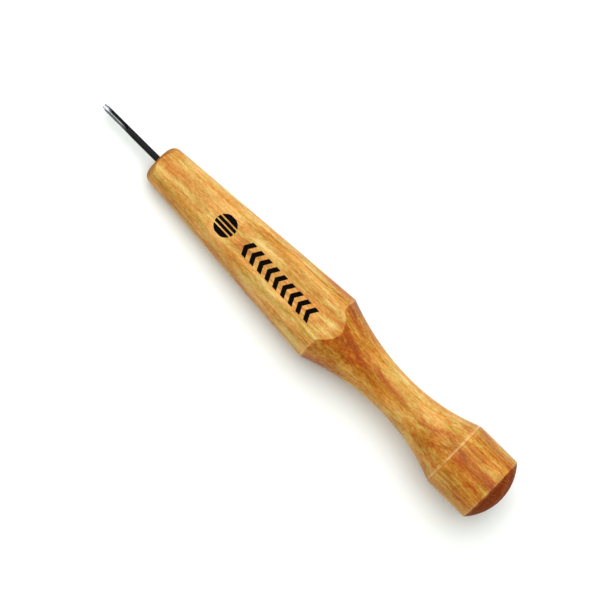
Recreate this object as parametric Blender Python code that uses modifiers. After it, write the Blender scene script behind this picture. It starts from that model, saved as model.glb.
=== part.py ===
"""A lino cutter: a fine U-gouge glued into a turned hardwood handle with two milled flats.

+X runs forward along the tool's axis to the cutting edge, and +Z runs up out of the thumb flat.
The origin is on the axis, halfway between the cutting edge and the butt. Metres.
Each piece is first laid out from the centre of the handle's front face, then moved to that frame.
"""

import math

import bmesh
import bpy
from mathutils import Matrix

MM = 0.001

# The handle. Every "back" is a distance behind the front face, along -X.
FRONT_RADIUS = 5.25 * MM
FRONT_ROUND_RADIAL = 2.5 * MM
FRONT_ROUND_AXIAL = 2.3 * MM
GRIP_BACK = 58.2 * MM
GRIP_RADIUS = 9.7 * MM
NECK_BACK = 81.6 * MM
NECK_RADIUS = 5.3 * MM
BUTT_BACK = 101.0 * MM
BUTT_RADIUS = 9.3 * MM
BUTT_CHAMFER_LENGTH = 0.8 * MM
BUTT_CHAMFER_DEPTH = 0.25 * MM
RIM_BACK = 114.05 * MM
DOME_HEIGHT = 3.65 * MM
FLAT_HALF_ANGLE = math.radians(32.0)

# The hole for the tang.
HOLE_RADIUS = 1.25 * MM
HOLE_DEPTH = 38.0 * MM
DRILL_HALF_ANGLE = math.radians(59.0)

# The blade: the gouge and its shank in front of the handle, the tang inside it.
BLADE_REACH = 18.9 * MM
EDGE_WIDTH = 1.45 * MM
EDGE_HEIGHT = 1.50 * MM
ROOT_WIDTH = 1.55 * MM
ROOT_HEIGHT = 1.70 * MM
TANG_LENGTH = 36.0 * MM
TANG_END_WIDTH = 1.10 * MM
TANG_END_HEIGHT = 0.60 * MM
SHANK_CORNER = 0.45 * MM
TANG_CORNER = 0.20 * MM
GOUGE_TOP_CORNER = 0.05 * MM
CHANNEL_HALF_WIDTH = 0.52 * MM
CHANNEL_DEPTH = 0.95 * MM
CHANNEL_STRAIGHT = 5.8 * MM
CHANNEL_RUN_OUT = 2.4 * MM
EDGE_LAND = 0.03 * MM
BEVEL_SIDE_SLOPE = 0.20

# The glue fills the hole, apart from a hairline gap to the steel and to the wood.
GLUE_GAP = 0.05 * MM
GLUE_RECESS = 0.30 * MM

# How finely curves are cut.
TURN_STEPS = 72
FINE_STEPS = 32
CORNER_POINTS = 6

FAR = 4 * MM  # how far a cutter runs past what it cuts
COLOURS = {
    "handle": ((0.78, 0.50, 0.22, 1.0), 0.35, 0.0),
    "gouge_blade": ((0.03, 0.03, 0.03, 1.0), 0.45, 1.0),
    "tang_adhesive": ((0.70, 0.55, 0.28, 1.0), 0.25, 0.0),
}


def clear_scene():
    for obj in list(bpy.data.objects):
        bpy.data.objects.remove(obj)


def new_collection(name):
    collection = bpy.data.collections.new(name)
    bpy.context.scene.collection.children.link(collection)
    return collection


def add_object(name, mesh, collection):
    obj = bpy.data.objects.new(name, mesh)
    collection.objects.link(obj)
    return obj


def make_cutter(obj):
    """A cutter is kept in the file as a wire, and isn't part of the object."""
    obj.hide_render = True
    obj.display_type = "WIRE"
    return obj


def set_material(obj):
    colour, roughness, metallic = COLOURS[obj.name]
    material = bpy.data.materials.new(obj.name)
    material.use_nodes = True
    shader = material.node_tree.nodes["Principled BSDF"]
    shader.inputs["Base Color"].default_value = colour
    shader.inputs["Roughness"].default_value = roughness
    shader.inputs["Metallic"].default_value = metallic
    obj.data.materials.append(material)


def lathe_to_tool_axis(obj):
    """Turns an object made about local Z so that its local +Z points along world +X."""
    obj.rotation_euler = (0.0, math.pi / 2, 0.0)
    return obj


def turned(name, profile, collection, steps):
    """A shape turned about world X. The profile is (back, radius) from the front end to the rear end."""
    mesh = bpy.data.meshes.new(name)
    points = [(radius, 0.0, -back) for back, radius in profile]
    mesh.from_pydata(points, [(i, i + 1) for i in range(len(points) - 1)], [])
    obj = lathe_to_tool_axis(add_object(name, mesh, collection))
    screw = obj.modifiers.new("turn", "SCREW")
    screw.axis = "Z"
    screw.steps = steps
    screw.render_steps = steps
    screw.use_merge_vertices = True
    screw.merge_threshold = 1e-6
    screw.use_smooth_shade = True
    return obj


def boolean(obj, operation, other):
    modifier = obj.modifiers.new(f"{operation.lower()}_{other.name}", "BOOLEAN")
    modifier.operation = operation
    modifier.object = other
    modifier.solver = "EXACT"


def arc_radius(run, rise):
    """The radius of an arc that starts level and rises by this much over this run."""
    return (run * run + rise * rise) / (2 * rise)


def waist_arc(back_a, back_b, rise, count):
    """Points of one side of the waist, an arc that is level at the neck, from back_a to back_b."""
    run = max(abs(NECK_BACK - back_a), abs(NECK_BACK - back_b))
    arc = arc_radius(run, rise)
    points = []
    for i in range(count + 1):
        back = back_a + (back_b - back_a) * i / count
        points.append((back, NECK_RADIUS + arc - math.sqrt(arc**2 - (back - NECK_BACK) ** 2)))
    return points


def dome_points(count):
    """The butt's dome, part of a sphere, from its rim to the point on the axis."""
    sphere = arc_radius(BUTT_RADIUS, DOME_HEIGHT)
    rim_angle = math.asin(BUTT_RADIUS / sphere)
    centre_back = RIM_BACK + DOME_HEIGHT - sphere
    points = []
    for i in range(count + 1):
        angle = rim_angle * (1 - i / count)
        points.append((centre_back + sphere * math.cos(angle), sphere * math.sin(angle)))
    return points


def grip_radius(back):
    return FRONT_RADIUS + (GRIP_RADIUS - FRONT_RADIUS) * back / GRIP_BACK


def front_round_points(count):
    """The rounded front edge, a quarter of an ellipse from the front face to the grip's cone."""
    outer = grip_radius(FRONT_ROUND_AXIAL)
    points = []
    for i in range(count + 1):
        angle = math.pi / 2 * i / count
        back = FRONT_ROUND_AXIAL * (1 - math.cos(angle))
        points.append((back, outer - FRONT_ROUND_RADIAL * (1 - math.sin(angle))))
    return points


def handle_profile():
    flare_radius = BUTT_RADIUS - BUTT_CHAMFER_DEPTH
    profile = [(0.0, 0.0)]
    profile += front_round_points(6)
    profile += waist_arc(GRIP_BACK, NECK_BACK, GRIP_RADIUS - NECK_RADIUS, 12)
    profile += waist_arc(NECK_BACK, BUTT_BACK, flare_radius - NECK_RADIUS, 10)[1:]
    profile.append((BUTT_BACK + BUTT_CHAMFER_LENGTH, BUTT_RADIUS))
    profile += dome_points(8)
    return profile


def flat_cutter(name, side, collection):
    """The block that mills one flat: side is +1 for the thumb flat on top, -1 for the flat below."""
    front_height = FRONT_RADIUS * math.cos(FLAT_HALF_ANGLE)
    grip_height = GRIP_RADIUS * math.cos(FLAT_HALF_ANGLE)
    slope = math.atan2(grip_height - front_height, GRIP_BACK)
    length = RIM_BACK - FAR
    depth = 2 * GRIP_RADIUS
    bpy.ops.mesh.primitive_cube_add(size=1.0)
    obj = bpy.context.object
    obj.name = name
    for owner in list(obj.users_collection):
        owner.objects.unlink(obj)
    collection.objects.link(obj)
    # The block's working face is at local z = 0, and its front end is at local x = FAR.
    shape = Matrix.Diagonal((length, 4 * GRIP_RADIUS, depth, 1.0))
    shift = Matrix.Translation((FAR - length / 2, 0.0, side * depth / 2))
    obj.data.transform(shift @ shape)
    obj.location = (0.0, 0.0, side * front_height)
    obj.rotation_euler = (0.0, side * slope, 0.0)
    return make_cutter(obj)


def hole_cutter(collection):
    point = HOLE_RADIUS / math.tan(DRILL_HALF_ANGLE)
    profile = [(-FAR, 0.0), (-FAR, HOLE_RADIUS), (HOLE_DEPTH - point, HOLE_RADIUS), (HOLE_DEPTH, 0.0)]
    return make_cutter(turned("tang_hole", profile, collection, FINE_STEPS))


def make_handle(parts, cutters):
    handle = turned("handle", handle_profile(), parts, TURN_STEPS)
    boolean(handle, "DIFFERENCE", flat_cutter("thumb_flat", 1, cutters))
    boolean(handle, "DIFFERENCE", flat_cutter("under_flat", -1, cutters))
    boolean(handle, "DIFFERENCE", hole_cutter(cutters))
    set_material(handle)


def bar_section(width, height, top_corner, bottom_corner):
    """A bar's section across X as (y, z) points, with its own corner radius above and below."""
    half_w, half_h = width / 2, height / 2
    corners = (
        (half_w - top_corner, half_h - top_corner, top_corner, 0),
        (top_corner - half_w, half_h - top_corner, top_corner, 1),
        (bottom_corner - half_w, bottom_corner - half_h, bottom_corner, 2),
        (half_w - bottom_corner, bottom_corner - half_h, bottom_corner, 3),
    )
    points = []
    for y, z, radius, quarter in corners:
        for i in range(CORNER_POINTS):
            angle = math.pi / 2 * (quarter + i / (CORNER_POINTS - 1))
            points.append((y + radius * math.cos(angle), z + radius * math.sin(angle)))
    return points


def loft(name, sections, collection):
    """A closed skin through (x, outline) sections that all have the same number of points."""
    bm = bmesh.new()
    rings = [[bm.verts.new((x, y, z)) for y, z in outline] for x, outline in sections]
    for front, rear in zip(rings, rings[1:]):
        for i in range(len(front)):
            j = (i + 1) % len(front)
            bm.faces.new((front[i], front[j], rear[j], rear[i]))
    bm.faces.new(rings[0])
    bm.faces.new(rings[-1])
    bmesh.ops.recalc_face_normals(bm, faces=bm.faces)
    mesh = bpy.data.meshes.new(name)
    bm.to_mesh(mesh)
    bm.free()
    return add_object(name, mesh, collection)


def blade_sections(grow):
    """The blade's bar from the edge back to the tang's end: round-bellied, then square, then a flat point.

    grow enlarges it on every side, for the space that the glue leaves round the tang.
    """
    gouge_back = CHANNEL_STRAIGHT + CHANNEL_RUN_OUT
    belly = EDGE_WIDTH / 2 - 0.01 * MM
    stations = (
        (BLADE_REACH, EDGE_WIDTH, EDGE_HEIGHT, GOUGE_TOP_CORNER, belly),
        (BLADE_REACH - gouge_back, EDGE_WIDTH, EDGE_HEIGHT, GOUGE_TOP_CORNER, belly),
        (BLADE_REACH - 1.3 * gouge_back, ROOT_WIDTH, ROOT_HEIGHT, SHANK_CORNER, SHANK_CORNER),
        (-GLUE_RECESS, ROOT_WIDTH, ROOT_HEIGHT, SHANK_CORNER, SHANK_CORNER),
        (-0.15 * TANG_LENGTH, ROOT_WIDTH, ROOT_HEIGHT, TANG_CORNER, TANG_CORNER),
        (-TANG_LENGTH - grow, TANG_END_WIDTH, TANG_END_HEIGHT, TANG_CORNER, TANG_CORNER),
    )
    return [
        (x, bar_section(width + 2 * grow, height + 2 * grow, top + grow, bottom + grow))
        for x, width, height, top, bottom in stations
    ]


def channel_cutter(collection):
    """The gouge's hollow: a round-nosed cutter with its axis in the blade's top face."""
    profile = [(-FAR, 0.0), (-FAR, CHANNEL_HALF_WIDTH)]
    for i in range(9):
        angle = math.pi / 2 * i / 8
        back = CHANNEL_STRAIGHT + CHANNEL_RUN_OUT * math.sin(angle)
        profile.append((back, CHANNEL_HALF_WIDTH * math.cos(angle)))
    cutter = turned("gouge_channel", profile, collection, FINE_STEPS)
    # Local X is world -Z here, so this scale deepens the round channel into a U.
    cutter.scale = (CHANNEL_DEPTH / CHANNEL_HALF_WIDTH, 1.0, 1.0)
    cutter.location = (BLADE_REACH, 0.0, EDGE_HEIGHT / 2)
    return make_cutter(cutter)


def bevel_cone(collection):
    """What is left inside this cone is the blade, so its flank is the bevel round the cutting edge."""
    length = BLADE_REACH + TANG_LENGTH + FAR
    edge = CHANNEL_HALF_WIDTH + EDGE_LAND
    bpy.ops.mesh.primitive_cone_add(
        vertices=2 * FINE_STEPS,
        radius1=edge + BEVEL_SIDE_SLOPE * length,
        radius2=edge,
        depth=length,
    )
    cone = bpy.context.object
    cone.name = "bevel_cone"
    for owner in list(cone.users_collection):
        owner.objects.unlink(cone)
    collection.objects.link(cone)
    lathe_to_tool_axis(cone)
    cone.scale = ((CHANNEL_DEPTH + EDGE_LAND) / edge, 1.0, 1.0)
    cone.location = (BLADE_REACH - length / 2, 0.0, EDGE_HEIGHT / 2)
    return make_cutter(cone)


def make_blade(parts, cutters):
    blade = loft("gouge_blade", blade_sections(0.0), parts)
    boolean(blade, "INTERSECT", bevel_cone(cutters))
    boolean(blade, "DIFFERENCE", channel_cutter(cutters))
    set_material(blade)


def make_adhesive(parts, cutters):
    radius = HOLE_RADIUS - GLUE_GAP
    point = radius / math.tan(DRILL_HALF_ANGLE)
    end = HOLE_DEPTH - GLUE_GAP / math.sin(DRILL_HALF_ANGLE)
    profile = [(GLUE_RECESS, 0.0), (GLUE_RECESS, radius), (end - point, radius), (end, 0.0)]
    glue = turned("tang_adhesive", profile, parts, FINE_STEPS)
    space = make_cutter(loft("tang_space", blade_sections(GLUE_GAP), cutters))
    boolean(glue, "DIFFERENCE", space)
    set_material(glue)


def centre_on_origin(objects):
    """Moves everything forward, so that the cutting edge and the butt are as far from the origin."""
    shift = (RIM_BACK + DOME_HEIGHT - BLADE_REACH) / 2
    for obj in objects:
        obj.location.x += shift


def main():
    clear_scene()
    parts = new_collection("lino_cutter")
    cutters = new_collection("cutters")
    make_handle(parts, cutters)
    make_blade(parts, cutters)
    make_adhesive(parts, cutters)
    centre_on_origin([*parts.objects, *cutters.objects])


main()
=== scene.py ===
"""The looks of a lino cutter: a lacquered, turned wooden handle with a small black steel gouge in its end.

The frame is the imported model's: +X forward along the axis to the cutting edge, +Z up out of the thumb
flat. A "back" is a distance behind the handle's front face. Shapes are worked out in millimetres and
become metres when their mesh is made.
"""

import math

import bpy
import numpy as np
from mathutils import Matrix, Vector


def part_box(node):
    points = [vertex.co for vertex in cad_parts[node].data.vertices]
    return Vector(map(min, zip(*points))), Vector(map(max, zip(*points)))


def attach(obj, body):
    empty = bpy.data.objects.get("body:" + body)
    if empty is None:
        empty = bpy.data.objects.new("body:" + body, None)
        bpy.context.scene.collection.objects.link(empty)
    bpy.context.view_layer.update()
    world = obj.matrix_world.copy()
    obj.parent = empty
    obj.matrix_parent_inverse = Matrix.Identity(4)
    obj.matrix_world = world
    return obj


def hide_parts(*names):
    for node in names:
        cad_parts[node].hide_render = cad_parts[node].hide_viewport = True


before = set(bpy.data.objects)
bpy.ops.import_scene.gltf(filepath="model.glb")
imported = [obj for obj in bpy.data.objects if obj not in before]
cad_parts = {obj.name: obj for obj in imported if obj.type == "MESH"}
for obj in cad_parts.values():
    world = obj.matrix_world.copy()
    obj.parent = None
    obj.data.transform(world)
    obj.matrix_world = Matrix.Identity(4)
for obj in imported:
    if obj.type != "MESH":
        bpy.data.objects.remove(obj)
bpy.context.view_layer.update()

MM = 0.001

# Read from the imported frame.
HANDLE_LOW, HANDLE_HIGH = (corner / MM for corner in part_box("handle"))
BLADE_LOW, BLADE_HIGH = (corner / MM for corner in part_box("gouge_blade"))
GLUE_FRONT_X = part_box("tang_adhesive")[1].x / MM
FRONT_X = HANDLE_HIGH.x
HANDLE_LENGTH = HANDLE_HIGH.x - HANDLE_LOW.x
GRIP_RADIUS = HANDLE_HIGH.y
BUTT_RADIUS = HANDLE_HIGH.z
BLADE_REACH = BLADE_HIGH.x - FRONT_X
TANG_LENGTH = FRONT_X - BLADE_LOW.x

# The handle's outline.
FRONT_RADIUS = 5.25
FRONT_ROUND_RADIAL = 2.5
FRONT_ROUND_AXIAL = 2.3
GRIP_BACK = 58.2
NECK_BACK = 81.6
NECK_RADIUS = 5.3
BUTT_BACK = 101.0
BUTT_ROLL_LENGTH = 0.8
BUTT_ROLL_DEPTH = 0.25
DOME_HEIGHT = 3.65
RIM_BACK = HANDLE_LENGTH - DOME_HEIGHT
FLAT_HALF_ANGLE = math.radians(32.0)
HOLE_RADIUS = 1.25
HOLE_DEPTH = 38.0
DRILL_POINT = 0.75

# How far the arrises are eased.
TURNED_EASE = 0.11
FLAT_EASE = 0.09

# Where the flat runs out into the waist, and how finely the mesh follows it.
SCALLOP_BACKS = (57.6, 62.8)
SCALLOP_STEP = 0.11

# Where the lacquer is worn off the turned arrises and a painted highlight runs along them, as a back and how
# much of the lacquer is gone there, which also sets how strong the painted highlight is.
EDGE_WEAR_AND_HIGHLIGHT = ((GRIP_BACK, 0.8), (BUTT_BACK + 0.3, 0.85), (RIM_BACK, 0.4))
EDGE_WEAR_AND_HIGHLIGHT_WIDTH = 0.28


# ---------------------------------------------------------------- shape helpers


def add_piece(name, vertices, faces, smooth=True):
    """A mesh object from vertices in millimetres that rides on the tool."""
    mesh = bpy.data.meshes.new(name)
    mesh.from_pydata((np.asarray(vertices, float) * MM).tolist(), [], faces)
    mesh.validate()
    if smooth:
        mesh.shade_smooth()
    obj = bpy.data.objects.new(name, mesh)
    bpy.context.scene.collection.objects.link(obj)
    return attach(obj, "root")


def add_values(obj, name, values):
    """Stores one number per vertex, for a material to read."""
    layer = obj.data.attributes.new(name, "FLOAT", "POINT")
    layer.data.foreach_set("value", np.asarray(values, np.float32))


def arc_radius(run, rise):
    """The radius of an arc that starts level and rises by this much over this run."""
    return (run * run + rise * rise) / (2 * rise)


def run_along(points):
    """How far along the line each of its points is."""
    steps = np.linalg.norm(np.diff(points, axis=0), axis=1)
    return np.concatenate([[0.0], np.cumsum(steps)])


def points_at(line, places):
    """The points at these distances along the line."""
    run = run_along(line)
    return np.column_stack([np.interp(places, run, column) for column in line.T])


def spread(positions, density):
    """Positions spread so that there are density of them per unit length, ends included."""
    steps = np.diff(positions) * (density[1:] + density[:-1]) / 2
    total = np.concatenate([[0.0], np.cumsum(steps)])
    count = int(math.ceil(total[-1]))
    return np.interp(np.linspace(0, total[-1], count + 1), total, positions)


def eased_minimum(a, b, width):
    """The smaller of the two, with the corner between them eased over this width."""
    near = np.maximum(width - np.abs(a - b), 0.0) / width
    return np.minimum(a, b) - near**2 * width / 4


def tube_faces(rows, columns):
    """Quads of a grid that closes round its columns. Row 0 comes first, and the outside faces out."""
    faces = []
    for row in range(rows - 1):
        for column in range(columns):
            after = (column + 1) % columns
            near, far = row * columns, (row + 1) * columns
            faces.append((near + column, near + after, far + after, far + column))
    return faces


# ---------------------------------------------------------------- the handle


def grip_radius(back):
    """The radius of the grip's cone."""
    return FRONT_RADIUS + (GRIP_RADIUS - FRONT_RADIUS) * back / GRIP_BACK


def flat_height(back):
    """How far the flat is from the axis."""
    return grip_radius(back) * math.cos(FLAT_HALF_ANGLE)


def waist_radius(back):
    """The waist's radius, on two arcs that meet level at the neck."""
    front = arc_radius(NECK_BACK - GRIP_BACK, GRIP_RADIUS - NECK_RADIUS)
    rear = arc_radius(BUTT_BACK - NECK_BACK, BUTT_RADIUS - BUTT_ROLL_DEPTH - NECK_RADIUS)
    arc = np.where(back < NECK_BACK, front, rear)
    return NECK_RADIUS + arc - np.sqrt(arc**2 - (back - NECK_BACK) ** 2)


def sharp_outline():
    """The handle's outline as (back, radius) points with its corners sharp.

    It runs from the bottom of the tang's hole out over the front face and the grip to the dome's top.
    """
    turn = np.linspace(0, math.pi / 2, 30)
    front_back = FRONT_ROUND_AXIAL * (1 - np.cos(turn))
    front_radius = grip_radius(FRONT_ROUND_AXIAL) - FRONT_ROUND_RADIAL * (1 - np.sin(turn))
    waist = np.linspace(GRIP_BACK, BUTT_BACK, 400)
    roll_back = BUTT_BACK + BUTT_ROLL_LENGTH * np.sin(turn)
    roll_radius = BUTT_RADIUS - BUTT_ROLL_DEPTH * np.cos(turn)
    sphere = arc_radius(BUTT_RADIUS, DOME_HEIGHT)
    polar = np.linspace(math.asin(BUTT_RADIUS / sphere), 0, 120)
    stretches = (
        [(HOLE_DEPTH, 0.0), (HOLE_DEPTH - DRILL_POINT, HOLE_RADIUS), (0.0, HOLE_RADIUS)],
        np.column_stack([front_back, front_radius]),
        np.column_stack([waist, waist_radius(waist)]),
        np.column_stack([roll_back, roll_radius]),
        np.column_stack([HANDLE_LENGTH - sphere * (1 - np.cos(polar)), sphere * np.sin(polar)]),
    )
    return np.concatenate([np.asarray(stretch) for stretch in stretches])


def eased_outline(step=0.02):
    """The outline at even steps, each point averaged with its neighbours so that no corner is sharp."""
    sharp = sharp_outline()
    line = points_at(sharp, np.arange(0, run_along(sharp)[-1], step))
    line = np.vstack([line, sharp[-1]])
    reach = int(4 * TURNED_EASE / step)
    weights = np.exp(-0.5 * (np.arange(-reach, reach + 1) * step / TURNED_EASE) ** 2)
    weights /= weights.sum()
    # Past each end, on the axis, the outline goes on as its own mirror image.
    mirror = np.array([1.0, -1.0])
    padded = np.vstack([line[reach:0:-1] * mirror, line, line[-2 : -reach - 2 : -1] * mirror])
    eased = np.column_stack([np.convolve(column, weights, "valid") for column in padded.T])
    eased[0, 1] = eased[-1, 1] = 0.0
    return eased


def outline_rows(line, coarse=0.7, turn_per_row=math.radians(4.0)):
    """Where along the outline the mesh has its rings: close where it turns and at the flats' ends."""
    run = run_along(line)
    heading = np.unwrap(np.arctan2(np.gradient(line[:, 1]), np.gradient(line[:, 0])))
    density = np.maximum(1 / coarse, np.abs(np.gradient(heading, run)) / turn_per_row)
    outside = run > run[np.argmin(line[:, 0])]
    at_scallop = (line[:, 0] > SCALLOP_BACKS[0]) & (line[:, 0] < SCALLOP_BACKS[1]) & outside
    at_front = (line[:, 0] < FRONT_ROUND_AXIAL) & outside
    density = np.where(at_scallop, np.maximum(density, 1 / SCALLOP_STEP), density)
    density = np.where(at_front, np.maximum(density, 1 / (2 * SCALLOP_STEP)), density)
    hole = (line[:, 0] > 1.0) & ~outside
    density = np.where(hole, np.minimum(density, 1 / (3 * coarse)), density)
    return points_at(line, spread(run, density))


def handle_columns():
    """The angles from +Z of the mesh's columns: closer over the flats, and closest at their edges."""
    angle = np.linspace(-math.pi, math.pi, 7201)
    from_flat = np.minimum(np.abs(angle), math.pi - np.abs(angle))
    degrees = np.degrees(from_flat)
    edge = math.degrees(FLAT_HALF_ANGLE)
    spacing = np.where(degrees < edge + 2, 1.15, 3.0)
    spacing = np.where(np.abs(degrees - edge) < 1.6, 0.4, spacing)
    return spread(np.degrees(angle), 1 / spacing)[:-1] * math.pi / 180


def edge_wear_and_highlight(line_backs, outside):
    """How pale the turned arrises are, from worn lacquer and a painted highlight: most at an arris, falling
    to 0 within half a millimetre of it.
    """
    wear = np.zeros(len(line_backs))
    for back, most in EDGE_WEAR_AND_HIGHLIGHT:
        wear = np.maximum(wear, most * np.exp(-(((line_backs - back) / EDGE_WEAR_AND_HIGHLIGHT_WIDTH) ** 2)))
    return wear * outside


def make_handle():
    """The turned wood with its two flats, as one closed mesh from the hole's bottom to the dome's top."""
    rows = outline_rows(eased_outline())
    angles = handle_columns()
    back = rows[1:-1, :1]
    turned = rows[1:-1, 1:]
    facing = np.abs(np.cos(angles))[None, :]
    flat = flat_height(back) / np.maximum(facing, 0.2)
    radius = eased_minimum(turned, flat, FLAT_EASE)
    x = np.broadcast_to(FRONT_X - back, radius.shape)
    grid = np.stack([x, radius * np.sin(angles), radius * np.cos(angles)], -1).reshape(-1, 3)
    first, last = len(grid), len(grid) + 1
    ends = [(FRONT_X - rows[0, 0], 0, 0), (FRONT_X - rows[-1, 0], 0, 0)]
    count, columns = radius.shape
    faces = tube_faces(count, columns)
    for column in range(columns):
        after = (column + 1) % columns
        faces.append((first, after, column))
        faces.append((last, (count - 1) * columns + column, (count - 1) * columns + after))
    handle = add_piece("handle_wood", np.vstack([grid, ends]), faces)
    outside = np.arange(count) > np.argmin(rows[1:-1, 0])
    # Worn lacquer and a painted highlight along the turned arrises, and none where the flats cut them away.
    worn_and_highlit_edge = np.repeat(edge_wear_and_highlight(rows[1:-1, 0], outside), columns)
    cut_away = (radius > flat - 0.3 * FLAT_EASE).ravel()
    add_values(handle, "worn_and_highlit_edge", np.append(np.where(cut_away, 0.0, worn_and_highlit_edge), [0.0, 0.0]))
    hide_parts("handle")
    return handle


# ---------------------------------------------------------------- the blade

EDGE_WIDTH, EDGE_HEIGHT = 1.45, 1.50
ROOT_WIDTH, ROOT_HEIGHT = 1.55, 1.70
TANG_END_WIDTH, TANG_END_HEIGHT = 1.10, 0.60
LIP_CORNER, SHANK_CORNER, TANG_CORNER = 0.04, 0.45, 0.20
CHANNEL_HALF_WIDTH, CHANNEL_DEPTH = 0.52, 0.95
CHANNEL_STRAIGHT, CHANNEL_RUN_OUT = 5.8, 2.4
CHANNEL_SQUARENESS = 2.5
CHANNEL_END_HALF_WIDTH = 0.06
EDGE_LAND = 0.02
BEVEL_SIDE_SLOPE, BEVEL_BELLY_SLOPE = 0.20, 0.356
BEVEL_LENGTH = 1.6


# Where the black scale is ground off, and where the hollow carries a painted reflection. Across the hollow,
# as shares of its half width, the polish goes from its first value to its second, so that its +Y side is
# bright as a painted reflection and its -Y side stays dark as painted shade. The hollow is bare behind the
# edge, and less so further back. The bevel's bare steel ends within a short blend on the flanks and on the
# belly.
POLISH_AND_REFLECTION_ACROSS, HOLLOW_POLISH_AND_REFLECTION = (-0.2, 0.3), (0.04, 0.8)
HONED_BEHIND = (1.2, 2.4)
FLANK_BLEND, BELLY_BLEND = 0.03, 0.05

GOUGE_LENGTH = CHANNEL_STRAIGHT + CHANNEL_RUN_OUT
SHANK_START = 1.3 * GOUGE_LENGTH
GLUE_RECESS = FRONT_X - GLUE_FRONT_X
TANG_SHOULDER = 0.15 * TANG_LENGTH


def bar_shape(behind):
    """The blade's width, height, top corner and belly corner at this distance behind the cutting edge."""
    places = (0, GOUGE_LENGTH, SHANK_START, BLADE_REACH + GLUE_RECESS,
              BLADE_REACH + TANG_SHOULDER, BLADE_REACH + TANG_LENGTH)
    belly = EDGE_WIDTH / 2 - 0.01
    widths = (EDGE_WIDTH, EDGE_WIDTH, ROOT_WIDTH, ROOT_WIDTH, ROOT_WIDTH, TANG_END_WIDTH)
    heights = (EDGE_HEIGHT, EDGE_HEIGHT, ROOT_HEIGHT, ROOT_HEIGHT, ROOT_HEIGHT, TANG_END_HEIGHT)
    tops = (LIP_CORNER, LIP_CORNER, SHANK_CORNER, SHANK_CORNER, TANG_CORNER, TANG_CORNER)
    bellies = (belly, belly, SHANK_CORNER, SHANK_CORNER, TANG_CORNER, TANG_CORNER)
    return [float(np.interp(behind, places, row)) for row in (widths, heights, tops, bellies)]


def channel_share(behind):
    """How much of the hollow's full size is left here."""
    past = max(behind - CHANNEL_STRAIGHT, 0.0) / CHANNEL_RUN_OUT
    return math.sqrt(max(1 - past**2, 0.0))


def channel_half_width(behind):
    """Half the hollow's width, which never quite closes, so that every section has the same points."""
    return max(CHANNEL_HALF_WIDTH * channel_share(behind), CHANNEL_END_HALF_WIDTH)


def outer_section(behind, corner_points=9):
    """The blade's outside as (y, z) points, from its right top edge round the belly to its left top edge."""
    width, height, top_corner, belly = bar_shape(behind)
    top = height / 2
    half = min(width / 2, CHANNEL_HALF_WIDTH + EDGE_LAND + BEVEL_SIDE_SLOPE * behind)
    bottom = top - min(height, CHANNEL_DEPTH + EDGE_LAND + BEVEL_BELLY_SLOPE * behind)
    belly = min(belly, half - 0.01)
    top_corner = min(top_corner, 0.6 * (half - channel_half_width(behind)))
    turn = np.linspace(0, math.pi / 2, corner_points)
    from_side, from_end = 1 - np.sin(turn), 1 - np.cos(turn)
    right_top = np.column_stack([half - top_corner * from_side, top - top_corner * from_end])
    right_belly = np.column_stack([half - belly * from_end, bottom + belly * from_side])
    right = np.vstack([right_top, right_belly])
    return np.vstack([right, right[::-1] * (-1, 1)])


def channel_section(behind, count=25):
    """The gouge's hollow as (y, z) points from its left lip down and up to its right lip."""
    share = channel_share(behind)
    half = channel_half_width(behind)
    top = bar_shape(behind)[1] / 2
    turn = np.linspace(math.pi, 0, count)
    power = 2 / CHANNEL_SQUARENESS
    across = np.sign(np.cos(turn)) * np.abs(np.cos(turn)) ** power
    # Where the hollow has run out, its points stay evenly apart in the top face.
    across = share * across + (1 - share) * np.linspace(-1, 1, count)
    down = np.abs(np.sin(turn)) ** power
    return np.column_stack([half * across, top - CHANNEL_DEPTH * share * down])


def blade_stations():
    """The distances behind the cutting edge at which the blade's mesh has a section."""
    bevel = np.linspace(0, BEVEL_LENGTH, 17)
    hollow = np.linspace(BEVEL_LENGTH, CHANNEL_STRAIGHT, 15)[1:]
    run_out = CHANNEL_STRAIGHT + CHANNEL_RUN_OUT * np.sin(np.linspace(0, math.pi / 2, 19)[1:])
    shank = np.linspace(GOUGE_LENGTH, SHANK_START, 9)[1:]
    root = np.linspace(SHANK_START, BLADE_REACH + GLUE_RECESS, 9)[1:]
    tang = np.linspace(BLADE_REACH + GLUE_RECESS, BLADE_REACH + TANG_LENGTH, 13)[1:]
    return np.concatenate([bevel, hollow, run_out, shank, root, tang])


def ground_and_reflection_share(behind, outer, inner):
    """How bright each point of this section is, 0 to 1, from grinding and from the painted reflection across
    the hollow: the outside's points, then the hollow's.
    """
    side = CHANNEL_HALF_WIDTH + EDGE_LAND + BEVEL_SIDE_SLOPE * behind
    on_flank = np.clip((EDGE_WIDTH / 2 - side) / FLANK_BLEND + 0.5, 0, 1)
    belly = CHANNEL_DEPTH + EDGE_LAND + BEVEL_BELLY_SLOPE * behind
    on_belly = np.clip((EDGE_HEIGHT - belly) / BELLY_BLEND + 0.5, 0, 1)
    height = (outer[:, 1].max() - outer[:, 1]) / EDGE_HEIGHT
    outer_ground = on_flank * (1 - height) + on_belly * height
    # Painted reflection and shade: the hollow's +Y side is bright and its -Y side dark.
    polish_and_reflection = np.interp(inner[:, 0] / CHANNEL_HALF_WIDTH, POLISH_AND_REFLECTION_ACROSS, HOLLOW_POLISH_AND_REFLECTION)
    inner_ground_and_reflection = polish_and_reflection * np.interp(behind, (CHANNEL_STRAIGHT, GOUGE_LENGTH), (1.0, 0.0))
    honed = np.interp(behind, HONED_BEHIND, (1.0, 0.0))
    return np.concatenate([outer_ground, np.maximum(inner_ground_and_reflection, honed)])


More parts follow.
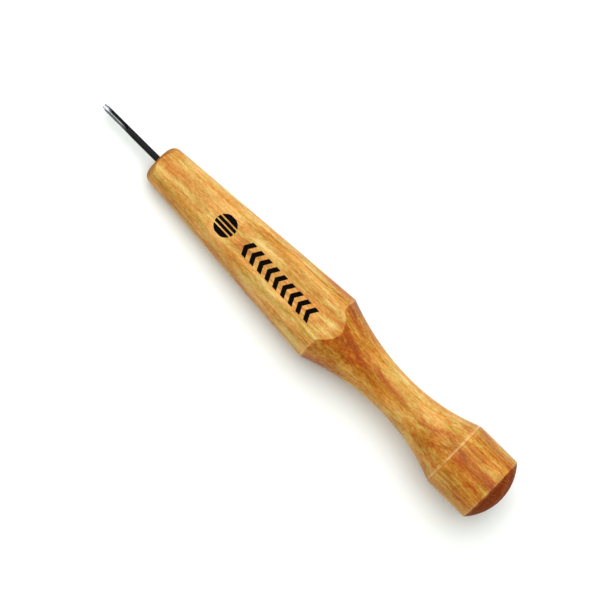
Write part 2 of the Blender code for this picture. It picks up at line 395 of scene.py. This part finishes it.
def make_blade():
    """The gouge, its shank and its tang, as one closed mesh through sections along the axis."""
    vertices, ground_and_reflection = [], []
    stations = blade_stations()
    for behind in stations:
        outer, inner = outer_section(behind), channel_section(behind)
        section = np.vstack([outer, inner])
        vertices.append(np.column_stack([np.full(len(section), BLADE_HIGH.x - behind), section]))
        ground_and_reflection.append(ground_and_reflection_share(behind, outer, inner))
    count = len(vertices[0])
    faces = tube_faces(len(stations), count)
    faces.append(tuple(range(count))[::-1])
    faces.append(tuple(range((len(stations) - 1) * count, len(stations) * count)))
    blade = add_piece("gouge_steel", np.vstack(vertices), faces)
    add_values(blade, "ground_and_reflection", np.concatenate(ground_and_reflection))
    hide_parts("gouge_blade")
    return blade


# ---------------------------------------------------------------- the glue round the tang

GLUE_SKIN = 0.01
MENISCUS_RISE = 0.22


def glue_ring(back, share):
    """A ring of points round the tang: share 0 touches the hole's wall and share 1 touches the steel."""
    steel = outer_section(BLADE_REACH + min(back, TANG_LENGTH))
    direction = steel / np.linalg.norm(steel, axis=1)[:, None]
    wall = direction * (HOLE_RADIUS - GLUE_SKIN)
    inner = steel + direction * GLUE_SKIN
    ring = wall + (inner - wall) * share
    return np.column_stack([np.full(len(ring), FRONT_X - back), ring])


def make_glue():
    """The glue between the hole and the tang, with a dip all round where it meets the air."""
    surface_back = GLUE_RECESS
    floor_back = HOLE_DEPTH - DRILL_POINT - GLUE_SKIN
    rings = [glue_ring(back, 0.0) for back in np.linspace(floor_back, surface_back, 12)]
    for share in np.linspace(0, 1, 9):
        dip = 1 - abs(2 * share - 1) ** 2.2
        rings.append(glue_ring(surface_back - MENISCUS_RISE * (1 - dip), share))
    rings += [glue_ring(back, 1.0) for back in np.linspace(surface_back, TANG_LENGTH, 12)]
    rings.append(glue_ring(TANG_LENGTH, 1.0) - (GLUE_SKIN, 0, 0))
    count = len(rings[0])
    faces = tube_faces(len(rings), count)
    faces = [face[::-1] for face in faces]
    faces.append(tuple(range(count)))
    faces.append(tuple(range((len(rings) - 1) * count, len(rings) * count))[::-1])
    glue = add_piece("tang_glue", np.vstack(rings), faces)
    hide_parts("tang_adhesive")
    return glue


# ---------------------------------------------------------------- the printed marks

INK_ABOVE, INK_BELOW = 0.015, 0.03
PRINT_MIDDLE = (42.0, 1.28)
PRINT_TURN = math.radians(2.0)
BADGE_AHEAD, BADGE_RADIUS = 18.7, 2.95
BADGE_CUT, BADGE_CUTS = 0.36, (-1.2, 0.0, 1.2)
BADGE_TRIM = 0.96
CHEVRON_PITCH, CHEVRON_COUNT = 2.72, 9
CHEVRON_HALF_HEIGHT, CHEVRON_POINT, CHEVRON_STROKE = 2.1, 1.15, 1.4
CORNER_ROUND = 0.12


def rounded(outline, radius, steps=4):
    """The outline with each corner replaced by a short curve."""
    smooth = []
    for i, corner in enumerate(outline):
        corner = np.asarray(corner, float)
        before, after = np.asarray(outline[i - 1]), np.asarray(outline[(i + 1) % len(outline)])
        start = corner + (before - corner) * min(radius / np.linalg.norm(before - corner), 0.45)
        end = corner + (after - corner) * min(radius / np.linalg.norm(after - corner), 0.45)
        for t in np.linspace(0, 1, steps):
            smooth.append((1 - t) ** 2 * start + 2 * t * (1 - t) * corner + t**2 * end)
    return smooth


def disc_slice(radius, low, high, steps=22):
    """The part of a disc between two lines across it."""
    low_angle, high_angle = math.asin(low / radius), math.asin(high / radius)
    right = [(radius * math.cos(a), radius * math.sin(a)) for a in np.linspace(low_angle, high_angle, steps)]
    return right + [(-x, y) for x, y in reversed(right)]


def chevron():
    """A chevron that points to the cutting edge, which is towards lower backs."""
    tip, tall, stroke = -(CHEVRON_POINT + CHEVRON_STROKE) / 2, CHEVRON_HALF_HEIGHT, CHEVRON_STROKE
    return [
        (tip, 0),
        (tip + CHEVRON_POINT, -tall),
        (tip + CHEVRON_POINT + stroke, -tall),
        (tip + stroke, 0),
        (tip + CHEVRON_POINT + stroke, tall),
        (tip + CHEVRON_POINT, tall),
    ]


def on_print(x, y):
    """A point of the print's layout as (back, across) on the thumb flat, where it sits a little askew."""
    cos, sin = math.cos(PRINT_TURN), math.sin(PRINT_TURN)
    return PRINT_MIDDLE[0] + x * cos - y * sin, PRINT_MIDDLE[1] + x * sin + y * cos


def mark_outlines():
    """Each printed shape as (back, across) points: a striped disc, then a row of chevrons."""
    bounds = [-BADGE_RADIUS * BADGE_TRIM]
    for cut in BADGE_CUTS:
        bounds += [cut - BADGE_CUT / 2, cut + BADGE_CUT / 2]
    bounds.append(BADGE_RADIUS * BADGE_TRIM)
    outlines = []
    for low, high in zip(bounds[::2], bounds[1::2]):
        shape = disc_slice(BADGE_RADIUS, low, high)
        outlines.append([on_print(x - BADGE_AHEAD, y) for x, y in shape])
    for i in range(CHEVRON_COUNT):
        middle = (i - (CHEVRON_COUNT - 1) / 2) * CHEVRON_PITCH
        outlines.append([on_print(middle + x, y) for x, y in rounded(chevron(), CORNER_ROUND)])
    return outlines


def make_marks():
    """The marks as films of ink that stand a hair above the flat."""
    vertices, faces = [], []
    for outline in mark_outlines():
        start, count = len(vertices), len(outline)
        for lift in (INK_ABOVE, -INK_BELOW):
            vertices += [(FRONT_X - back, across, flat_height(back) + lift) for back, across in outline]
        faces.append(tuple(range(start, start + count)))
        faces.append(tuple(range(start + count, start + 2 * count))[::-1])
        for i in range(count):
            j = (i + 1) % count
            faces.append((start + i, start + count + i, start + count + j, start + j))
    marks = add_piece("printed_marks", vertices, faces, smooth=False)
    return marks


# ---------------------------------------------------------------- materials


class Shader:
    """A material whose nodes are each added and wired with one call."""

    def __init__(self, name):
        self.material = bpy.data.materials.new(name)
        self.material.use_nodes = True
        self.tree = self.material.node_tree
        self.surface = self.tree.nodes["Principled BSDF"]

    def wire(self, socket, value):
        """Links the socket to another node's output, or sets it to a plain value."""
        if isinstance(value, bpy.types.NodeSocket):
            self.tree.links.new(value, socket)
        else:
            socket.default_value = value

    def node(self, kind, inputs, output=0, **settings):
        """Adds a node with these inputs and settings, and gives back one of its outputs."""
        node = self.tree.nodes.new("ShaderNode" + kind)
        for name, value in settings.items():
            setattr(node, name, value)
        for name, value in inputs.items():
            self.wire(node.inputs[name], value)
        return node.outputs[output]

    def finish(self, **inputs):
        """Wires the surface's inputs, with their spaces written as underscores."""
        for name, value in inputs.items():
            self.wire(self.surface.inputs[name.replace("_", " ")], value)
        return self.material

    def millimetres(self):
        """Where the surface is in the tool's own frame, in millimetres."""
        place = self.node("TexCoord", {}, "Object")
        return self.node("VectorMath", {0: place, "Scale": 1 / MM}, operation="SCALE")

    def stretched(self, vector, scale):
        return self.node("VectorMath", {0: vector, 1: scale}, operation="MULTIPLY")

    def shifted(self, vector, by):
        return self.node("VectorMath", {0: vector, 1: by}, operation="ADD")

    def parts(self, vector):
        """The vector's x, y and z."""
        node = self.tree.nodes.new("ShaderNodeSeparateXYZ")
        self.wire(node.inputs[0], vector)
        return node.outputs

    def joined(self, x, y, z):
        return self.node("CombineXYZ", {0: x, 1: y, 2: z})

    def maths(self, operation, a, b=0.0, c=0.0):
        return self.node("Math", {0: a, 1: b, 2: c}, operation=operation)

    def noise(self, vector, scale, detail=3.0, roughness=0.55, distortion=0.0, output="Fac"):
        """Noise that averages a half, with this many cells per millimetre along each axis."""
        settings = {
            "Vector": self.stretched(vector, scale),
            "Scale": 1.0,
            "Detail": detail,
            "Roughness": roughness,
            "Distortion": distortion,
        }
        return self.node("TexNoise", settings, output)

    def remap(self, value, low, high, to_low=0.0, to_high=1.0):
        """Eases from to_low to to_high as the value goes from low to high, and holds still past both."""
        settings = {0: value, 1: low, 2: high, 3: to_low, 4: to_high}
        return self.node("MapRange", settings, interpolation_type="SMOOTHSTEP")

    def mix(self, factor, a, b, blend="MIX"):
        settings = {0: factor, 6: a, 7: b}
        return self.node("Mix", settings, 2, data_type="RGBA", blend_type=blend)

    def ramp(self, value, stops):
        """A colour from (place, colour) stops, two or more."""
        node = self.tree.nodes.new("ShaderNodeValToRGB")
        elements = node.color_ramp.elements
        while len(elements) < len(stops):
            elements.new(1.0)
        for element, (place, colour) in zip(elements, stops):
            element.position = place
            element.color = colour
        self.wire(node.inputs[0], value)
        return node.outputs[0]

    def bump(self, height, distance, strength):
        """A normal for a surface with this relief, whose full height is this many millimetres."""
        return self.node("Bump", {"Height": height, "Distance": distance * MM, "Strength": strength})

    def vertex_value(self, name):
        return self.node("Attribute", {}, "Fac", attribute_name=name)


def rgb(red, green, blue):
    """A colour given as the eye reads it, 0 to 255, as the linear values that Blender works in."""
    linear = []
    for value in (red / 255, green / 255, blue / 255):
        linear.append(value / 12.92 if value <= 0.04045 else ((value + 0.055) / 1.055) ** 2.4)
    return (*linear, 1.0)


def weighted(shader, terms, base):
    """base plus each noise's swing about a half times its weight."""
    total = base
    for value, weight in terms:
        swing = shader.maths("SUBTRACT", value, 0.5)
        total = shader.maths("MULTIPLY_ADD", swing, weight, total)
    return total


# The middle of the tree is this far to the -Y side of the handle's axis and this far below it.
PITH = (31.0, 44.0)

# Streaks that run along the handle: where each is across it, its half width, and how much darker it is.
HEART = (0.4, 3.8, 0.34)
GROWTH_LINE = (0.9, 1.0, 0.22)
PALE_STREAKS = ((-2.6, 2.0, -0.10), (3.3, 1.5, -0.05))
WAIST_LEAN = 0.1
SHOULDER_DARKER = 0.17  # on the -Y side, round the grip's widest place
FRONT_DARKER = 0.16
BUTT_DARKER = (0.26, 0.06)  # from the middle of the butt to its +Y side


def streak(s, y, where):
    """How much darker one streak makes the wood here."""
    across, half_width, darker = where
    away = s.maths("ABSOLUTE", s.maths("SUBTRACT", y, across))
    return s.maths("MULTIPLY", s.remap(away, 0.1 * half_width, half_width, 1.0, 0.0), darker)


def dark_places(s, place, normal_x):
    """How much darker than usual the wood is here."""
    x, y, z = s.parts(place)
    back = s.maths("SUBTRACT", FRONT_X, x)
    behind_grip = s.remap(back, GRIP_BACK, GRIP_BACK + 4.0)
    near_front = s.remap(back, 3.0, 20.0, 1.0, 0.0)
    lean = s.maths("MULTIPLY", s.remap(y, -7.0, 7.0, -WAIST_LEAN, WAIST_LEAN), s.remap(back, 70.0, 84.0))
    heart = s.maths("MULTIPLY", streak(s, y, HEART), s.remap(back, 74.0, 94.0, 1.0, 0.2))
    waist = s.maths("ADD", heart, lean)
    at_shoulder = s.maths("MULTIPLY", s.remap(back, 45.0, 57.0), s.remap(back, 68.0, 78.0, 1.0, 0.0))
    shoulder = s.maths("MULTIPLY", at_shoulder, s.remap(y, -7.5, -3.5, SHOULDER_DARKER, 0.0))
    streaks = s.maths("MULTIPLY_ADD", waist, behind_grip, shoulder)
    streaks = s.maths("MULTIPLY_ADD", streak(s, y, GROWTH_LINE), near_front, streaks)
    before_waist = s.maths("SUBTRACT", 1.0, behind_grip)
    for where in PALE_STREAKS:
        streaks = s.maths("MULTIPLY_ADD", streak(s, y, where), before_waist, streaks)
    streaks = s.maths("MULTIPLY", streaks, s.remap(z, -3.0, 2.0))
    # The waist's front leans back across the grain, so it takes up more stain.
    flare = s.remap(normal_x, -0.36, -0.05, 0.31, 0.0)
    on_butt = s.remap(back, BUTT_BACK - 1.0, BUTT_BACK + 3.0)
    butt = s.maths("MULTIPLY", on_butt, s.remap(y, 0.0, 7.0, *BUTT_DARKER))
    front = s.remap(back, 1.0, 6.0, FRONT_DARKER, 0.0)
    return s.maths("ADD", s.maths("ADD", streaks, flare), s.maths("ADD", front, butt))


def grown(s, place):
    """Where this is in the tree: along the trunk, out from its pith, and round its rings."""
    x, y, z = s.parts(place)
    across, up = s.maths("ADD", y, PITH[0]), s.maths("ADD", z, PITH[1])
    out = s.maths("SQRT", s.maths("MULTIPLY_ADD", across, across, s.maths("MULTIPLY", up, up)))
    round_rings = s.maths("MULTIPLY", s.maths("ARCTAN2", across, up), math.hypot(*PITH))
    return s.joined(x, out, round_rings)


def wood_material():
    """Amber lacquer over a fine-grained, streaky hardwood, darker where the cut shows end grain."""
    s = Shader("lacquered_wood")
    place = s.millimetres()
    wander = s.noise(place, (0.02, 0.06, 0.06), 2.0, output="Color")
    wander = s.stretched(s.shifted(wander, (-0.5, -0.5, -0.5)), (0.0, 4.0, 4.0))
    wood = grown(s, s.shifted(place, wander))
    years = s.noise(wood, (0.002, 0.55, 0.01), 3.0, 0.6)
    streaks = s.noise(wood, (0.05, 0.5, 0.4), 3.0, 0.6)
    fibres = s.noise(wood, (0.14, 2.0, 1.6), 3.0, 0.65)
    flecks = s.noise(wood, (0.9, 1.6, 3.2), 2.0, 0.7)
    mottle = s.noise(place, (0.07, 0.2, 0.2), 2.0, 0.5, 0.6)
    normal_x = s.parts(s.node("NewGeometry", {}, "Normal"))[0]
    tone = weighted(s, [(years, 0.6), (streaks, 1.0), (fibres, 0.75), (flecks, 0.8), (mottle, 1.0)], 0.64)
    tone = s.maths("SUBTRACT", tone, dark_places(s, place, normal_x))
    colour = s.ramp(tone, [
        (0.00, rgb(134, 58, 1)),
        (0.25, rgb(158, 84, 6)),
        (0.50, rgb(178, 120, 38)),
        (0.75, rgb(198, 151, 74)),
        (1.00, rgb(214, 178, 110)),
    ])
    redness = s.remap(s.noise(wood, (0.12, 0.5, 0.5), 3.0, 0.6), 0.36, 0.64)
    tint = s.mix(redness, (0.95, 1.10, 1.10, 1), (1.05, 0.89, 0.78, 1))
    colour = s.mix(1.0, colour, tint, "MULTIPLY")
    pores = s.remap(s.noise(wood, (0.5, 7.0, 9.0), 2.0), 0.58, 0.72)
    colour = s.mix(s.maths("MULTIPLY", pores, 0.4), colour, rgb(110, 54, 14))
    dome = s.remap(normal_x, -0.74, -0.45, 1.0, 0.0)
    end_grain = s.maths("ADD", dome, s.remap(normal_x, 0.12, 0.8, 0.0, 0.75))
    rays = s.remap(s.noise(wood, (0.3, 0.5, 5.0), 2.0), 0.5, 0.7)
    stained = s.mix(rays, rgb(124, 48, 14), rgb(152, 82, 38))
    stained = s.mix(s.remap(years, 0.42, 0.6), s.mix(1.0, stained, (0.72, 0.66, 0.6, 1), "MULTIPLY"), stained)
    colour = s.mix(end_grain, colour, s.mix(0.8, colour, stained))
    # Pale arrises: worn lacquer, with a painted highlight along each turned edge.
    edge = s.vertex_value("worn_and_highlit_edge")
    wear_and_highlight = s.maths("MULTIPLY", edge, s.remap(s.noise(place, (0.3, 0.3, 0.3), 3.0), 0.38, 0.62, 0.05, 0.7))
    colour = s.mix(wear_and_highlight, colour, rgb(222, 182, 124))
    relief = s.maths("MULTIPLY_ADD", pores, -0.6, s.maths("MULTIPLY", fibres, 0.5))
    bumped = s.bump(relief, 0.02, 0.5)
    lacquer = s.bump(s.noise(place, (0.35, 0.35, 0.35), 2.0), 0.02, 0.6)
    roughness = s.remap(mottle, 0.3, 0.7, 0.42, 0.55)
    return s.finish(
        Base_Color=colour,
        Roughness=roughness,
        Normal=bumped,
        Specular_IOR_Level=s.remap(end_grain, 0.0, 1.0, 0.14, 0.01),
        Coat_Weight=s.remap(end_grain, 0.0, 1.0, 0.06, 0.0),
        Coat_Roughness=0.25,
        Coat_Normal=lacquer,
    )


def steel_material():
    """Black heat-scaled tool steel that is bright where it has been ground, and down one side of the hollow
    as a painted reflection.
    """
    s = Shader("black_tool_steel")
    place = s.millimetres()
    ground_and_reflection = s.vertex_value("ground_and_reflection")
    scale = s.noise(place, (1.2, 3.0, 3.0), 4.0, 0.6)
    black = s.ramp(scale, [(0.3, rgb(5, 5, 6)), (0.7, rgb(17, 18, 20))])
    scratches = s.noise(place, (3.0, 30.0, 30.0), 2.0)
    bright = s.ramp(scratches, [(0.3, rgb(150, 152, 156)), (0.7, rgb(205, 207, 210))])
    # Bright steel where ground, and where the hollow has its painted reflection.
    colour = s.mix(ground_and_reflection, black, bright)
    roughness = s.mix(ground_and_reflection, (0.42, 0.42, 0.42, 1), (0.26, 0.26, 0.26, 1))
    metallic = s.remap(ground_and_reflection, 0.0, 1.0, 0.5, 1.0)
    relief = s.bump(s.noise(place, (4.0, 6.0, 6.0), 3.0), 0.01, 0.5)
    return s.finish(Base_Color=colour, Roughness=roughness, Metallic=metallic, Normal=relief,
                    Specular_IOR_Level=0.15)


def glue_material():
    s = Shader("cured_epoxy")
    place = s.millimetres()
    haze = s.noise(place, (0.9, 0.9, 0.9), 3.0)
    colour = s.ramp(haze, [(0.3, rgb(150, 104, 48)), (0.7, rgb(196, 150, 84))])
    relief = s.bump(s.noise(place, (1.5, 1.5, 1.5), 2.0), 0.02, 0.5)
    return s.finish(Base_Color=colour, Roughness=0.2, Coat_Weight=0.5, Normal=relief)


def ink_material():
    s = Shader("black_ink")
    place = s.millimetres()
    thin = s.noise(place, (1.5, 8.0, 8.0), 3.0, 0.6)
    colour = s.ramp(thin, [(0.6, rgb(5, 3, 2)), (0.85, rgb(48, 28, 14))])
    relief = s.bump(s.noise(place, (6.0, 6.0, 6.0), 2.0), 0.005, 0.4)
    return s.finish(Base_Color=colour, Roughness=0.6, Specular_IOR_Level=0.02, Normal=relief)


# ---------------------------------------------------------------- the stage

# In millimetres, apart from the light's and the floor's sizes, which are in metres.
VIEW_WIDTH = 146.36
CAMERA_DISTANCE = 1000.0
SENSOR = 36.0
VIEW_CENTRE = Vector((0.74, -0.08, 0.0))
SEEN_FROM = Vector((-0.03, math.tan(math.radians(7.4)), 1.0))
X_IN_VIEW = (-0.7053, 0.7089)  # which way the tool's +X points in the picture
KEY_DIRECTION = (0.22, -0.33, 1.0)
KEY_DISTANCE = 1.2
KEY_SIZE = 1.4
KEY_POWER = 19.2
ROOM_LEVEL = 0.58
FLOOR_GAP = 0.02
FLOOR_HALF_SIZE = 2.5


def make_camera():
    """A long lens above the tool that sees it lie from the view's upper left to its lower right."""
    backward = SEEN_FROM.normalized()
    right = Vector((X_IN_VIEW[0], -X_IN_VIEW[1], 0.0))
    right = (right - right.dot(backward) * backward).normalized()
    up = backward.cross(right)
    camera = bpy.data.objects.new("camera", bpy.data.cameras.new("camera"))
    camera.data.sensor_width = SENSOR
    camera.data.lens = SENSOR * CAMERA_DISTANCE / VIEW_WIDTH
    camera.data.clip_start = 0.01
    camera.data.clip_end = 20.0
    turn = Matrix((right, up, backward)).transposed().to_4x4()
    place = (VIEW_CENTRE + backward * CAMERA_DISTANCE) * MM
    camera.matrix_world = Matrix.Translation(place) @ turn
    bpy.context.scene.collection.objects.link(camera)
    bpy.context.scene.camera = camera


def add_light(name, direction, distance, size, power):
    """A square soft light that faces the tool from this direction. Distance and size are in metres."""
    light = bpy.data.lights.new(name, "AREA")
    light.shape = "SQUARE"
    light.size = size
    light.energy = power
    obj = bpy.data.objects.new(name, light)
    direction = Vector(direction).normalized()
    obj.location = direction * distance
    obj.rotation_euler = direction.to_track_quat("Z", "Y").to_euler()
    bpy.context.scene.collection.objects.link(obj)


def make_floor():
    """A pale sheet that the tool lies on, on its lower flat."""
    slope = math.atan2(flat_height(GRIP_BACK) - flat_height(0), GRIP_BACK)
    mid_back = GRIP_BACK / 2
    touch = Vector((FRONT_X - mid_back, 0, -flat_height(mid_back) - FLOOR_GAP))
    half = FLOOR_HALF_SIZE
    mesh = bpy.data.meshes.new("floor")
    corners = [(-half, -half, 0), (half, -half, 0), (half, half, 0), (-half, half, 0)]
    mesh.from_pydata(corners, [], [(0, 1, 2, 3)])
    floor = bpy.data.objects.new("floor", mesh)
    floor.matrix_world = Matrix.Translation(touch * MM) @ Matrix.Rotation(-slope, 4, "Y")
    bpy.context.scene.collection.objects.link(floor)
    s = Shader("pale_floor")
    mesh.materials.append(s.finish(Base_Color=(0.88, 0.92, 0.89, 1.0), Roughness=0.9))


def make_light():
    """An even white room and one large soft light above."""
    world = bpy.data.worlds.new("studio")
    world.use_nodes = True
    background = world.node_tree.nodes["Background"]
    background.inputs["Color"].default_value = (1.0, 1.0, 1.0, 1.0)
    background.inputs["Strength"].default_value = ROOM_LEVEL
    bpy.context.scene.world = world
    add_light("key", KEY_DIRECTION, KEY_DISTANCE, KEY_SIZE, KEY_POWER)


def main():
    """Builds the pieces, gives them their materials and sets the stage."""
    handle = make_handle()
    blade = make_blade()
    glue = make_glue()
    marks = make_marks()
    handle.data.materials.append(wood_material())
    blade.data.materials.append(steel_material())
    glue.data.materials.append(glue_material())
    marks.data.materials.append(ink_material())
    make_floor()
    make_light()
    make_camera()
    bpy.context.scene.view_settings.view_transform = "Standard"


main()
